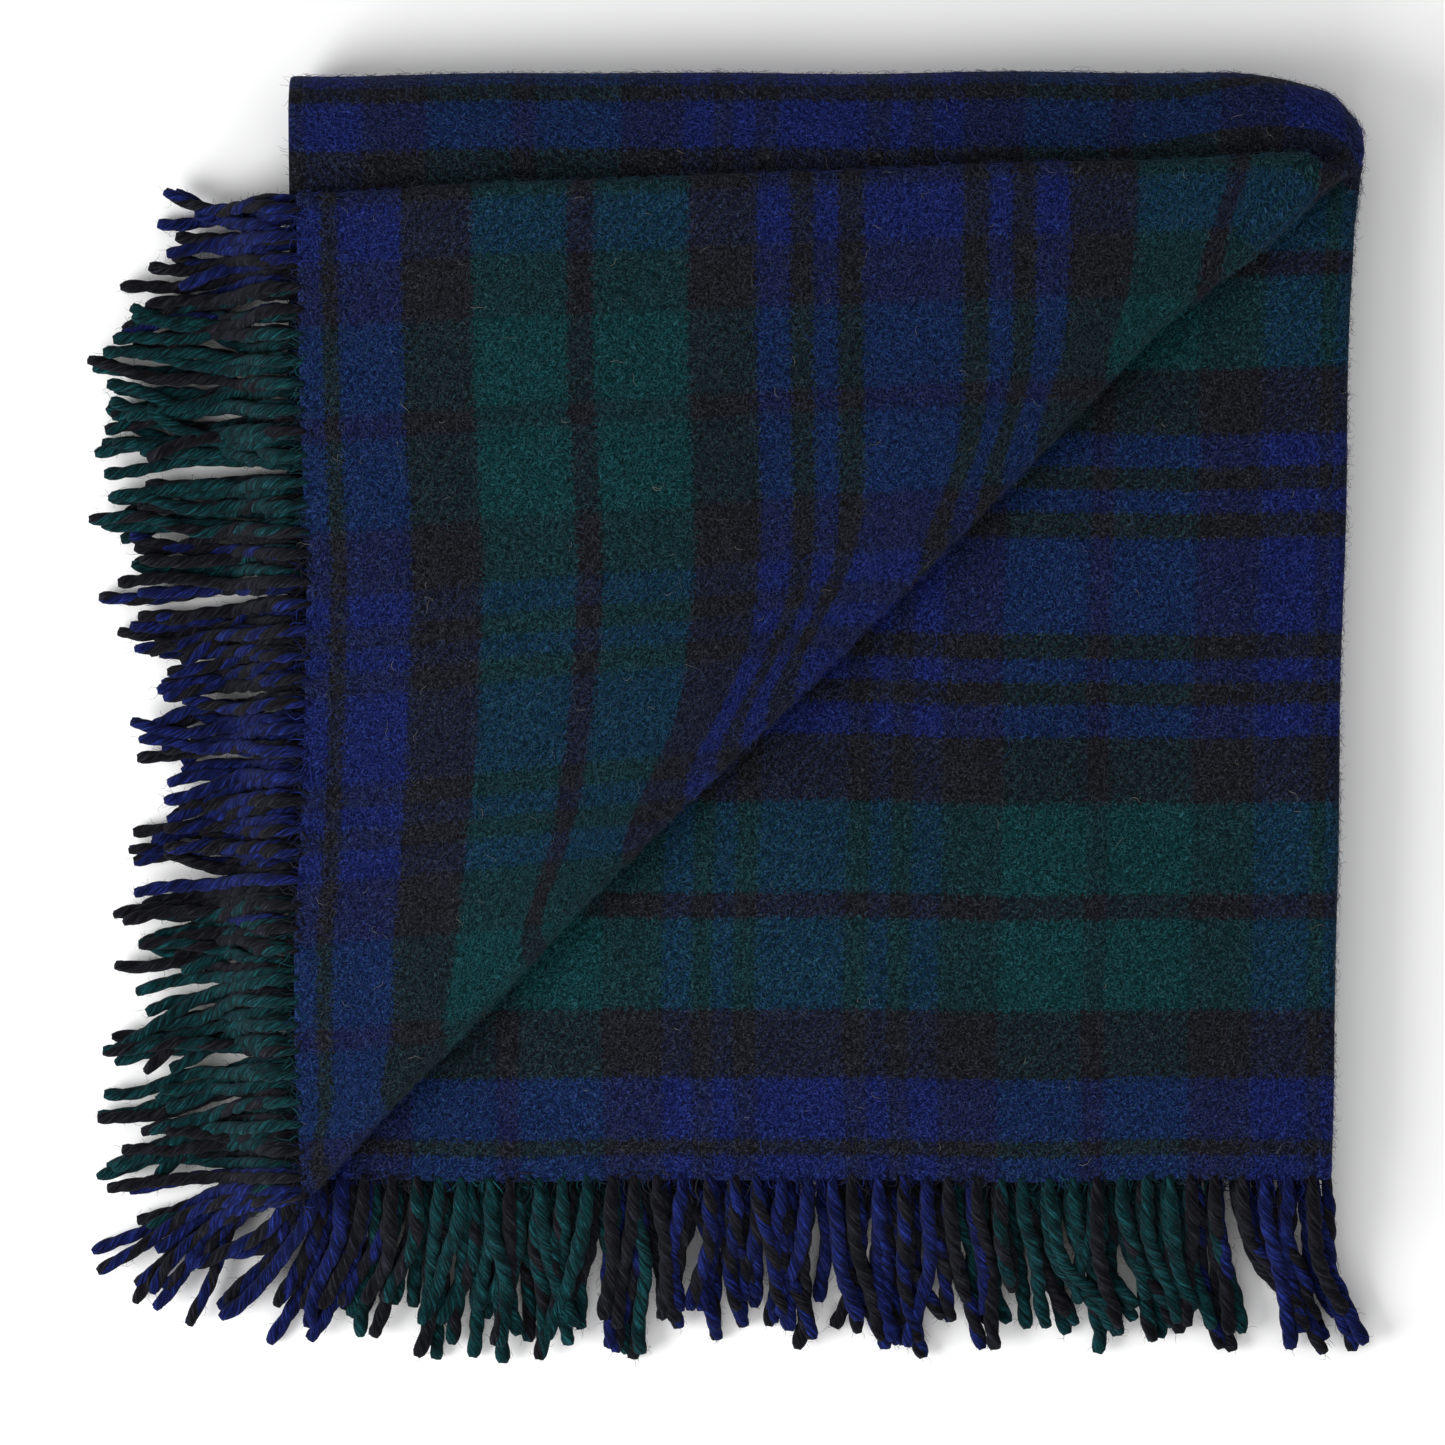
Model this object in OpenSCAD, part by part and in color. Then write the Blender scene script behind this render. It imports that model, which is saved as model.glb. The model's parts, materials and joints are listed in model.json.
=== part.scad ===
// A brushed wool throw, folded in quarters both ways, with a corner turned back.
// X runs along the fringed edge, Y towards the top fold, Z up from the surface it lies on.
// The origin is the centre of the whole object's footprint.

/* [Throw] */
// Width of the unfolded throw, side to side
throw_w = 1400; // [1320:10:1480]
// Distance from the fringed edge to the top fold, as folded
folded_l = 366; // [350:1:380]
// Thickness of one ply of cloth
cloth_t = 1.7; // [1.4:0.1:2]
// Air between two plies that lie on each other
ply_gap = 0.1; // [0.05:0.05:0.2]
// Air between two folded layers
layer_gap = 0.3; // [0.3:0.05:0.5]

/* [Turned corner] */
// Angle of the diagonal that the corner turns about, measured from the X axis
fold_angle = 45.5; // [44:0.5:46]
// How far the turned edge sits in from the side of the layers below
corner_inset = 4; // [3:1:8]
// Distance from the top fold to the turned corner's upper edge
corner_drop = 31; // [28:1:40]

/* [Fringe] */
// Sideways reach of the turned corner's fringe
corner_reach = 74; // [66:1:76]
// Reach of the lower fringe
lower_reach = 64; // [56:1:68]
// Width of one twisted strand
strand_w = 5; // [4:0.5:6]
// Distance from one strand to the next
strand_pitch = 10; // [9:0.5:12]
// Length of a strand before it starts to droop
strand_level = 8; // [7:1:10]
// Share of a strand's reach that has come down to the surface
strand_rest = 0.25; // [0.2:0.05:0.35]

/* [Hidden] */
PLIES = 4;
LAYERS = 4;
fringe_nodes = [for (row = [1:PLIES], side = ["corner", "lower"]) str(side, "_fringe_", row)];

// Cloth colours: the blue, green and near-black of the tartan
cloth_blue = [0.07, 0.12, 0.30];
cloth_green = [0.05, 0.20, 0.19];
cloth_black = [0.09, 0.10, 0.12];
strand_colours = [cloth_blue, cloth_black, cloth_green, cloth_black];

// Heights through the stack
ply_pitch = cloth_t + ply_gap;
band_t = PLIES * ply_pitch - ply_gap;
layer_pitch = band_t + layer_gap;
stack_t = LAYERS * layer_pitch - layer_gap;
hinge_z = stack_t + layer_gap / 2;

// Places in plan
panel_w = throw_w / PLIES;
overall_w = panel_w - corner_inset + corner_reach;
overall_l = folded_l + lower_reach;
panel_right = overall_w / 2;
panel_left = panel_right - panel_w;
panel_top = overall_l / 2;
panel_bottom = panel_top - folded_l;
flat_top = panel_top - stack_t / 2;
corner_left = panel_left + corner_inset;
corner_top = panel_top - corner_drop;

// The diagonal starts at the lower left corner and ends at the turned corner's upper edge
hinge_start = [panel_left, panel_bottom];
hinge_l = (corner_top - panel_bottom) / sin(fold_angle);
roll_inset = 3;

arc = 48;

// ---------- the band: the throw's width folded to four plies ----------

// Right half of a ring
module half_ring(r_out, r_in) {
    intersection() {
        difference() {
            circle(r = r_out, $fn = arc);
            circle(r = r_in, $fn = arc);
        }
        translate([0, -r_out]) square([r_out, 2 * r_out]);
    }
}

// Section of the band: X across the band, Y up through its plies.
// One fold on the right lies inside another. The two lowest plies join on the left,
// and the throw's two side edges end there above them.
module band_section() {
    outer_r = band_t / 2;
    inner_r = outer_r - ply_pitch;
    right = panel_w - outer_r;
    for (ply = [0:PLIES - 1]) {
        left = ply < PLIES / 2 ? inner_r : 0;
        translate([left, ply * ply_pitch]) square([right - left, cloth_t]);
    }
    translate([right, outer_r]) {
        half_ring(outer_r, outer_r - cloth_t);
        half_ring(inner_r, inner_r - cloth_t);
    }
    translate([inner_r, inner_r]) mirror([1, 0]) half_ring(inner_r, inner_r - cloth_t);
}

module flipped_section() {
    translate([0, band_t]) mirror([0, 1]) band_section();
}

// A flat run of the band along Y, from y0 to y1, on the layer that starts at height z0
module flat_layer(z0, y0, y1, flipped = false) {
    translate([panel_left, y1, z0]) rotate([90, 0, 0]) linear_extrude(y1 - y0) {
        if (flipped) flipped_section();
        else band_section();
    }
}

// Half a turn of the band about the X direction, bulging towards +Y, with its inner radius given
module turned_layer(r_in, flipped = false) {
    rotate([0, 90, 0]) rotate_extrude(angle = 180, $fn = 2 * arc) translate([r_in, 0]) mirror([1, -1]) {
        if (flipped) flipped_section();
        else band_section();
    }
}

// Height of the underside of a layer, counted from 1 at the top
function layer_z(layer) = (LAYERS - layer) * layer_pitch;

// Everything above and to the left of the diagonal, moved off it by clearance
module above_diagonal(clearance) {
    size = 2 * panel_w;
    translate(hinge_start) rotate([0, 0, fold_angle])
        translate([-size / 2, clearance, -size / 2]) cube([2 * size, size, size]);
}

// ---------- the four layers ----------

module layer_1() {
    color(cloth_blue) intersection() {
        flat_layer(layer_z(1), panel_bottom, flat_top);
        above_diagonal(0);
    }
}

module layer_2() {
    color(cloth_green) flat_layer(layer_z(2), panel_bottom, flat_top, flipped = true);
}

module layer_3() {
    color(cloth_blue) flat_layer(layer_z(3), bottom_fold_y(), flat_top);
}

module layer_4() {
    color(cloth_black) flat_layer(layer_z(4), bottom_fold_y(), flat_top, flipped = true);
}

// ---------- the folds that join them ----------

// Centre line of the bottom fold, which stays just behind the fringed edge
function bottom_fold_y() = panel_bottom + ply_pitch + layer_pitch;

module top_fold_outer() {
    color(cloth_blue) translate([panel_left, flat_top, stack_t / 2])
        turned_layer(stack_t / 2 - band_t);
}

module top_fold_inner() {
    color(cloth_green) translate([panel_left, flat_top, stack_t / 2])
        turned_layer(layer_gap / 2, flipped = true);
}

module bottom_fold() {
    color(cloth_black) translate([panel_left, bottom_fold_y(), layer_pitch - layer_gap / 2])
        mirror([0, 1, 0]) turned_layer(layer_gap / 2);
}

// ---------- the turned corner ----------

// The corner lies face down, so its double fold runs along its upper edge
module turned_corner() {
    color(cloth_green) intersection() {
        translate([corner_left - panel_bottom, corner_top - panel_right, hinge_z + layer_gap / 2 + band_t])
            rotate(180, [1, 1, 0])
                flat_layer(0, panel_bottom, panel_top);
        above_diagonal(layer_gap);
    }
}

// Each ply turns over the diagonal as its own half tube, one inside the next
module corner_roll() {
    color(cloth_green) translate([hinge_start[0], hinge_start[1], hinge_z]) rotate([0, 0, fold_angle])
        for (ply = [0:PLIES - 1]) {
            r_in = layer_gap / 2 + ply * ply_pitch;
            start = roll_inset + r_in + cloth_t;
            translate([start, 0, 0]) rotate([90, 0, 90]) linear_extrude(hinge_l - start - r_in - cloth_t)
                mirror([1, 0]) half_ring(r_in + cloth_t, r_in);
        }
}

// ---------- the fringes ----------

// Side view of one strand: level at its ply, drooping, then resting. X runs outwards.
module strand_section(z_ply, z_rest, reach) {
    droop_end = reach * (1 - strand_rest);
    polygon([
        [0, z_ply],
        [strand_level, z_ply],
        [droop_end, z_rest],
        [reach, z_rest],
        [reach, z_rest + cloth_t],
        [droop_end, z_rest + cloth_t],
        [strand_level, z_ply + cloth_t],
        [0, z_ply + cloth_t]
    ]);
}

// A row of strands along Y over the given length, reaching out in -X
module strand_row(row_l, z_ply, z_rest, reach) {
    count = floor((row_l - strand_w) / strand_pitch) + 1;
    margin = (row_l - (count - 1) * strand_pitch) / 2;
    for (i = [0:count - 1])
        translate([0, margin + i * strand_pitch + strand_w / 2, 0]) rotate([90, 0, 0])
            linear_extrude(strand_w) mirror([1, 0]) strand_section(z_ply, z_rest, reach);
}

// Fringe row on one ply of the turned corner, row 1 at the top
module corner_fringe(row) {
    level = PLIES - row;
    z_ply = hinge_z + layer_gap / 2 + level * ply_pitch;
    color(strand_colours[row - 1]) translate([corner_left, panel_bottom + corner_inset, 0])
        strand_row(corner_top - panel_bottom - 2 * corner_inset, z_ply, level * ply_pitch, corner_reach);
}

// Fringe row on one ply of the second layer, row 1 at the top
module lower_fringe(row) {
    level = PLIES - row;
    z_ply = layer_z(2) + level * ply_pitch;
    color(strand_colours[row - 1]) translate([panel_right - strand_w, panel_bottom, 0])
        rotate([0, 0, 90])
            strand_row(panel_w - 2 * strand_w, z_ply, level * ply_pitch, lower_reach);
}

layer_1();
layer_2();
layer_3();
layer_4();
top_fold_outer();
top_fold_inner();
bottom_fold();
turned_corner();
corner_roll();
for (row = [1:PLIES]) {
    corner_fringe(row);
    lower_fringe(row);
}
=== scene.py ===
"""The looks of a folded, brushed wool throw with a turned corner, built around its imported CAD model.

Lengths are metres. X runs along the fringed edge, Y towards the top fold, Z up.
The cloth is one long sheet. Folded in quarters across its width, it becomes a band of four plies,
numbered 0 to 3 from the bottom. Folded in quarters along its length, the band becomes four layers,
numbered 1 to 4 from the top. The outer half of the sheet is layers 1 and 4, and the inner half is
layers 2 and 3. A corner of layer 1 is turned back over a diagonal.
A place on a ply is given by across, the distance from its left edge, and along, the distance from
its fringed edge.
"""

import json
import math

import bpy
import numpy as np
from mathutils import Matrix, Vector


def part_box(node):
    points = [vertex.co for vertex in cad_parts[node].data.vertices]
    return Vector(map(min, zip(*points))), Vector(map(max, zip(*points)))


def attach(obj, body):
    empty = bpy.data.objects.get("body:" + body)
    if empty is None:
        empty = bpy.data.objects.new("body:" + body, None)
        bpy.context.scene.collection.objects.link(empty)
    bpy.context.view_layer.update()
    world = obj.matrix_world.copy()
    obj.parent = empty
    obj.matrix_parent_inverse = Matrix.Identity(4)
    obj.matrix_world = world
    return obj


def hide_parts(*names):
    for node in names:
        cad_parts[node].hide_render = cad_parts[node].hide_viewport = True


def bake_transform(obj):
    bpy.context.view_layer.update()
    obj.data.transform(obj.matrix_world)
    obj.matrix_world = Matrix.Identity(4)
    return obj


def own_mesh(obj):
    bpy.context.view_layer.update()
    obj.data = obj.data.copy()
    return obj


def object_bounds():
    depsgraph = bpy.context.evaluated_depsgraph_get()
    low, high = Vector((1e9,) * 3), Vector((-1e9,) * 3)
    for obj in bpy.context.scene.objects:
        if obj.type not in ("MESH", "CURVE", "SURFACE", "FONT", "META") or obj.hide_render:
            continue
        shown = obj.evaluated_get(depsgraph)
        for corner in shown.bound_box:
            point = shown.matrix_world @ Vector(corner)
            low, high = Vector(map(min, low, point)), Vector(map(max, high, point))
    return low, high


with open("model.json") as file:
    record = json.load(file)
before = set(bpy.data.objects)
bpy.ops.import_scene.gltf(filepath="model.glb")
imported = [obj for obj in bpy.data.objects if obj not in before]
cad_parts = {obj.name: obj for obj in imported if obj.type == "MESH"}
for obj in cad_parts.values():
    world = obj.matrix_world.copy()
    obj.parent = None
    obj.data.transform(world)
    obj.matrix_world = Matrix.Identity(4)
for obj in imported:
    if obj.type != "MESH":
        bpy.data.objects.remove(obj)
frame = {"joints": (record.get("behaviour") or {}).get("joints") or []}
cad_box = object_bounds()
scene = bpy.context.scene
rng = np.random.default_rng(7)

# ---------------------------------------------------------------- sizes from the frame

PLIES = 4
# Thickness of a ply, and the share of it that its cloth fills, which keeps it clear of the next
CLOTH_T = 0.0017
PLY_FILL = 0.98
# The plies below this one join in a crease on the left. The others end there, in the throw's side edges.
CREASED = 2
# The plies outside the others, and those that the throw's width runs through from left to right
OUTSIDE_PLIES = 0, PLIES - 1
RIGHTWARD_PLIES = 1, 3
# The plies in the order in which the throw's width runs through them
PLY_ORDER = 3, 0, 1, 2

layer_lo, layer_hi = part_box("layer_1")
lower_lo, lower_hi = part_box("layer_2")

LEFT = layer_lo.x
RIGHT = lower_hi.x
EDGE_Y = layer_lo.y
FLAT_TOP = layer_hi.y
STACK_T = layer_hi.z
BAND_T = layer_hi.z - layer_lo.z
LAYER_PITCH = layer_lo.z - lower_lo.z
LAYER_GAP = LAYER_PITCH - BAND_T
PLY_PITCH = (BAND_T - CLOTH_T) / (PLIES - 1)

joint = frame["joints"][0]
HINGE = Vector(joint["pos_m"])
HINGE_AXIS = Vector(joint["axis"])
HINGE_NORMAL = Vector((HINGE_AXIS.y, -HINGE_AXIS.x, 0))
FLOOR_Z = cad_box[0].z

# Radii of the middle of a ply round its folds
OUTER_FOLD_R = (BAND_T - CLOTH_T) / 2
INNER_FOLD_R = OUTER_FOLD_R - PLY_PITCH
FOLD_H = BAND_T / 2
CREASE_H = FOLD_H - PLY_PITCH
WRAP_Z = STACK_T / 2
WRAP_R = STACK_T / 2 - BAND_T
BOTTOM_FOLD_Y = EDGE_Y + PLY_PITCH + LAYER_PITCH
BOTTOM_FOLD_Z = LAYER_PITCH - LAYER_GAP / 2
ROLL_R = LAYER_GAP / 2 + BAND_T - CLOTH_T / 2

# How much further towards -Y layer 1's own fringed edge lay, before its corner was turned
CORNER_EDGE_DROP = 0.003
# How far the roll swells towards -Y near its top right end, and where along it
PUFF = 0.010
PUFF_REACH = 0.462
PUFF_SPREAD = 0.065
# How far the roll wanders along its length, in waves given by radians a metre, a phase and a share
ROLL_WAVE = 0.0006
ROLL_WAVES = ((23, 1, 1), (51, 2, 0.6))
# How the turned corner is pulled out of square: in X, as (Y, pull), and in Y, at its left and right
CORNER_PULL_X = (
    (-0.151, -0.0055), (-0.060, -0.0070), (0.010, -0.0020), (0.060, -0.0006), (0.160, -0.0027),
)
CORNER_PULL_Y = (-0.0100, -0.0035)
# The stack bulges at the top right and leans in towards the bottom right, fastest near the top.
# Its left side is spread a little.
TOP_BULGE = 0.0015
LEAN = 0.0105
LEAN_CURVE = 0.6
SPREAD = 0.003
# Its top right corner is rounded off, and tucked in at the very end
ROUND_FROM_X = 0.160
ROUND_FROM_Y = 0.160
ROUNDING = 4.6
TUCK = 0.006
TUCK_W = 0.011
# Gentle ups and downs of the soft cloth, which are less below a height, and a wander of its edges
UNDULATION = 0.0012
UNDULATION_FULL_Z = 0.012
EDGE_WANDER = 0.0008
WANDER_ACROSS = 0.3
# The waves that make them up, as radians a metre in X and in Y and a phase, and their highest sum
RIPPLES = ((27, 11, 0.4), (-14, 33, 1.9), (43, -29, 3.1), (8, -61, 5.2), (71, 38, 0.9))
RIPPLE_PEAK = 3.2

# Cloth taken up in the soft slack under the turned corner, and how far from the fold line that takes
HIDDEN_SLACK = 0.015
SLACK_REACH = 0.05
# Cloth stretched over the top fold, from just before it, over a short length
TOP_STRETCH = 0.006
TOP_STRETCH_BEFORE = 0.010
TOP_STRETCH_OVER = 0.016
# How much the turned corner's weave is stretched, and how far in its sett each half's fringe is
CORNER_STRETCH = 0.028
MARGINS = {"outer": 0.0035, "inner": 0.0027}
# How far the turned corner's rows are up at its top, and down lower on, where they also tilt.
# The change is at a distance across the ply, over a width.
ROWS_UP = 0.0046
ROWS_DOWN = 0.0088
ROWS_TILT = 0.06
ROWS_CHANGE_AT = 0.302
ROWS_CHANGE_OVER = 0.111
# How the weave is sheared along the roll: how far, over what width of cloth, and where along the
# roll the shear is strongest and how far it spreads from there
ROLL_DRAGS = (
    (0.008, 0.065, 0.19, 0.10),
    (0.016, 0.022, 0.22, 0.09),
    (0.006, 0.012, 0.25, 1.00),
)


def smoothstep(t):
    t = np.clip(t, 0, 1)
    return t * t * (3 - 2 * t)


# ---------------------------------------------------------------- the shape of the cloth

def ply_runs(ply):
    """Lengths of a ply's left crease, flat run and right fold."""
    crease = math.pi / 2 * INNER_FOLD_R if ply < CREASED else 0
    fold = math.pi / 2 * (OUTER_FOLD_R if ply in OUTSIDE_PLIES else INNER_FOLD_R)
    flat = RIGHT - LEFT - FOLD_H - (CREASE_H if ply < CREASED else 0)
    return crease, flat, fold


# Width of each ply's cloth, from the middle of its left crease or its edge to the middle of its fold
WIDTHS = [sum(ply_runs(ply)) for ply in range(PLIES)]


def cross_section(ply, across):
    """X and the height within the band, for distances across one ply."""
    crease, flat, fold = ply_runs(ply)
    up = 1 if ply < CREASED else -1
    fold_r = fold / (math.pi / 2)
    x = LEFT + (CREASE_H if ply < CREASED else 0) + np.clip(across - crease, 0, flat)
    height = np.full_like(across, CLOTH_T / 2 + ply * PLY_PITCH)
    turn = np.clip(across - crease - flat, 0, None) / fold_r
    x = x + fold_r * np.sin(turn)
    height = height + up * fold_r * (1 - np.cos(turn))
    if ply < CREASED:
        turn = np.clip(crease - across, 0, None) / INNER_FOLD_R
        x = x - INNER_FOLD_R * np.sin(turn)
        height = height + (1 if ply == 0 else -1) * INNER_FOLD_R * (1 - np.cos(turn))
    return x, height


def side_path(half, along, height):
    """Y and Z along one half of the throw's length: up its top layer, round the top fold,
    back along its bottom layer and halfway round the bottom fold."""
    outer = half == "outer"
    start = EDGE_Y - (CORNER_EDGE_DROP if outer else 0)
    rise = height if outer else BAND_T - height
    top_z = STACK_T - BAND_T + rise if outer else STACK_T - LAYER_PITCH - BAND_T + rise
    wrap_r = top_z - WRAP_Z
    runs = path_runs(half)
    on_wrap = np.clip(along - runs[0], 0, runs[1]) / runs[1] * math.pi
    on_back = np.clip(along - runs[0] - runs[1], 0, runs[2])
    on_fold = np.clip(along - sum(runs[:3]), 0, None) / runs[3] * math.pi / 2
    y = start + np.clip(along, None, runs[0]) + wrap_r * np.sin(on_wrap) - on_back
    z = WRAP_Z + wrap_r * np.cos(on_wrap)
    fold_r = abs(z - BOTTOM_FOLD_Z)
    y = y - np.where(on_fold > 0, fold_r * np.sin(on_fold), 0)
    z = np.where(on_fold > 0, BOTTOM_FOLD_Z + (z - BOTTOM_FOLD_Z) * np.cos(on_fold), z)
    return y, z


def path_runs(half):
    """Lengths of one half's top layer, top fold, bottom layer and half of the bottom fold."""
    outer = half == "outer"
    middle = WRAP_R + BAND_T / 2 if outer else WRAP_R - LAYER_GAP - BAND_T / 2
    top = FLAT_TOP - EDGE_Y + (CORNER_EDGE_DROP if outer else 0)
    return top, math.pi * middle, FLAT_TOP - BOTTOM_FOLD_Y, math.pi / 2 * (BAND_T + LAYER_GAP) / 2


THROW_L = sum(path_runs("outer")) + sum(path_runs("inner"))
# The halves meet here, and each half's pattern counts up to it from its own fringe
MIDDLE_V = THROW_L / 2


def on_top_layer(half, along):
    """Whether places are on a half's top layer or the upper half of its top fold."""
    runs = path_runs(half)
    return along < runs[0] + 0.5 * runs[1]


def beyond_diagonal(x, y):
    """Distance past the fold line, towards the lower right."""
    return (x - HINGE.x) * HINGE_NORMAL.x + (y - HINGE.y) * HINGE_NORMAL.y


def reach_along(x, y):
    """Distance along the fold line from its lower left end."""
    return (x - HINGE.x) * HINGE_AXIS.x + (y - HINGE.y) * HINGE_AXIS.y


def blend_range(ends, share):
    return ends[0] + (ends[1] - ends[0]) * share


def turn_corner(x, y, z):
    """Turns what lies beyond the diagonal back over it, round a roll.
    Returns the place and how far round it has turned, from 0 to 1."""
    beyond = beyond_diagonal(x, y)
    reach = reach_along(x, y)
    angle = np.clip(beyond / ROLL_R, 0, math.pi)
    r = HINGE.z - z
    over = np.clip(beyond - math.pi * ROLL_R, 0, None)
    wave = ROLL_WAVE * sum(share * np.sin(reach * rate + phase) for rate, phase, share in ROLL_WAVES)
    shift = np.where(beyond > 0, (r + wave) * np.sin(angle) - over - beyond, 0)
    x = x + HINGE_NORMAL.x * shift
    y = y + HINGE_NORMAL.y * shift
    y = y - PUFF * smoothstep(1 - abs(reach - PUFF_REACH) / PUFF_SPREAD) * np.sin(angle)
    z = np.where(beyond > 0, HINGE.z - r * np.cos(angle), z)
    turned = smoothstep(angle / math.pi)
    x = x + turned * np.interp(y, *zip(*CORNER_PULL_X))
    y = y + turned * blend_range(CORNER_PULL_Y, (x - LEFT) / (RIGHT - LEFT))
    return x, y, z, turned


def ripple(a, b):
    """A smooth, irregular rise and fall over the plan, about -1 to 1."""
    return sum(np.sin(p * a + q * b + phase) for p, q, phase in RIPPLES) / RIPPLE_PEAK


def settle(x, y, z, turned):
    """The folded throw as it really lies: leaning, rounded and gently uneven."""
    w = (x - LEFT) / (RIGHT - LEFT)
    h = (y - EDGE_Y) / (FLAT_TOP - EDGE_Y)
    new_x = x + (TOP_BULGE - LEAN * np.clip(1 - h, 0, 1) ** LEAN_CURVE) * w - SPREAD * (1 - w)
    corner = smoothstep((y - ROUND_FROM_Y) / (FLAT_TOP - ROUND_FROM_Y)) * (1 - turned)
    drop = ROUNDING * np.clip(x - ROUND_FROM_X, 0, None) ** 2 + TUCK * smoothstep((x - RIGHT) / TUCK_W + 1)
    new_y = y - drop * corner
    new_x = new_x + EDGE_WANDER * ripple(WANDER_ACROSS * x, y + 0.02 * z)
    new_y = new_y + EDGE_WANDER * ripple(x + 0.5, WANDER_ACROSS * y)
    # None at the hinge's height, where the turned corner's cloth parts from the stack's
    share = np.clip((abs(z - HINGE.z) - CLOTH_T) / ROLL_R, 0, 1) * np.clip(z / UNDULATION_FULL_Z, 0, 1)
    return new_x, new_y, z + UNDULATION * share * ripple(x, y)


def cloth_point(half, ply, across, along):
    """Places on the middle of a ply, as an array of points."""
    x, height = cross_section(ply, across)
    y, z = side_path(half, along, height)
    turned = np.zeros_like(x)
    if half == "outer":
        on_top = on_top_layer(half, along)
        turned_x, turned_y, turned_z, turned = turn_corner(x, y, z)
        x = np.where(on_top, turned_x, x)
        y = np.where(on_top, turned_y, y)
        z = np.where(on_top, turned_z, z)
        turned = np.where(on_top, turned, 0)
    return np.stack(settle(x, y, z, turned), axis=-1)


def pattern_place(half, ply, across, along):
    """Where a place on a ply is in the pattern: distances from the throw's side edge and fringe."""
    before = sum(WIDTHS[p] for p in PLY_ORDER[:PLY_ORDER.index(ply)])
    rightward = ply in RIGHTWARD_PLIES
    u = before + (across if rightward else WIDTHS[ply] - across)
    runs = path_runs(half)
    v = along + MARGINS[half]
    if half == "outer":
        x, height = cross_section(ply, across)
        y, _ = side_path(half, along, height)
        beyond = beyond_diagonal(x, y)
        reach = reach_along(x, y)
        from_roll = beyond - math.pi * ROLL_R
        drag = sum(
            far * smoothstep(1 - from_roll / width) * np.exp(-((reach - centre) / spread) ** 2)
            for far, width, centre, spread in ROLL_DRAGS
        )
        v = v * (1 - CORNER_STRETCH * smoothstep(beyond / SLACK_REACH))
        v = v + HIDDEN_SLACK * smoothstep(-beyond / SLACK_REACH)
        v = v + TOP_STRETCH * smoothstep((along - runs[0] + TOP_STRETCH_BEFORE) / TOP_STRETCH_OVER)
        v = v + HINGE_AXIS.y * drag * smoothstep(beyond / (0.5 * math.pi * ROLL_R))
        lower_on = np.clip((ROWS_CHANGE_AT - across) / ROWS_CHANGE_OVER, 0, 1)
        rows_up = ROWS_UP + lower_on * (ROWS_TILT * along - ROWS_DOWN)
        u = u + (-1 if rightward else 1) * rows_up * smoothstep(beyond / (math.pi * ROLL_R))
    turned_under = runs[0] + runs[1]
    slack = MARGINS[half] + (HIDDEN_SLACK + TOP_STRETCH if half == "outer" else 0)
    rest = (MIDDLE_V - turned_under - slack) / (sum(runs) - turned_under)
    v = np.where(along > turned_under, turned_under + slack + (along - turned_under) * rest, v)
    return u, v


# ---------------------------------------------------------------- materials

# Dyed wool: reflectances, which the weave mixes
WOOL = {
    "blue": (0.0040, 0.0085, 0.076),
    "green": (0.0010, 0.0275, 0.0310),
    "black": (0.0068, 0.0064, 0.0092),
}
# A painted glint, a pale colour mixed in for the light that single fibres catch, and wool that took no dye
PAINTED_GLINT = (0.115, 0.16, 0.19, 1)
PALE_WOOL = (0.20, 0.19, 0.165, 1)
# The sett, from one pivot to the other, as relative widths. The first and last are half bands.
SETT = (
    ("blue", 3), ("black", 3.6), ("blue", 13.9), ("black", 15), ("green", 21), ("black", 5.5),
    ("green", 20.5), ("black", 15), ("blue", 7), ("black", 5), ("blue", 5.5), ("black", 5.5),
    ("blue", 11),
)
# Distance from pivot to pivot, and one pivot's place, along the throw and across it
WEFT_HALF_REPEAT = 0.1925
WEFT_PIVOT = 0.0065
WARP_HALF_REPEAT = 0.178
WARP_PIVOT = -0.004
# How much of the colour comes from the weft
WEFT_SHARE = 0.70
# Colours are mixed as powers of this root, which comes close to mixing dyes
DYE_ROOT = 8

# Noises, as waves a metre, detail and roughness
GRAIN_BEND = 350, 1
GRAIN_STREAKS = 1850, 1
GRAIN_FINE = 2600, 2, 0.7
BAND_DRAG = 800, 3, 0.7
FLECKS = 1500, 2, 0.6
TUFTS = 420, 3, 0.6
SLOW_SHADE = 9, 2
FIBRE_SHADE = 1700, 1
FIBRE_GLINT = 2900, 0
FIBRE_UNDYED = 2300, 0
YARN_STREAKS = 1250, 3, 0.7
YARN_SLOW = 120, 2
YARN_FUZZ = 2200, 2, 0.7
# Nearly all of a noise lies between these
NOISE_ENDS = 0.3, 0.7

# The grain's streaks: their directions, how far they are drawn out and bent, and their share
STREAK_ANGLES = 0.3, 1.35, 2.4
STREAK_LENGTH = 2.7
STREAK_BEND = 0.0022
STREAK_SHARE = 0.7
# How far the nap drags the edges of bands
DRAG = -0.0018, 0.0018
# The twill's wales, and how much they and single flecks move the colour from weft to warp
WALE_SCALE = 160
FLOAT_SHARES = -0.10, 0.10
FLECK_SHARES = -0.25, 0.25
# How much slower the yarn's streaks change along its fibres than round them
YARN_DRAWN_OUT = 0.12


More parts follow.
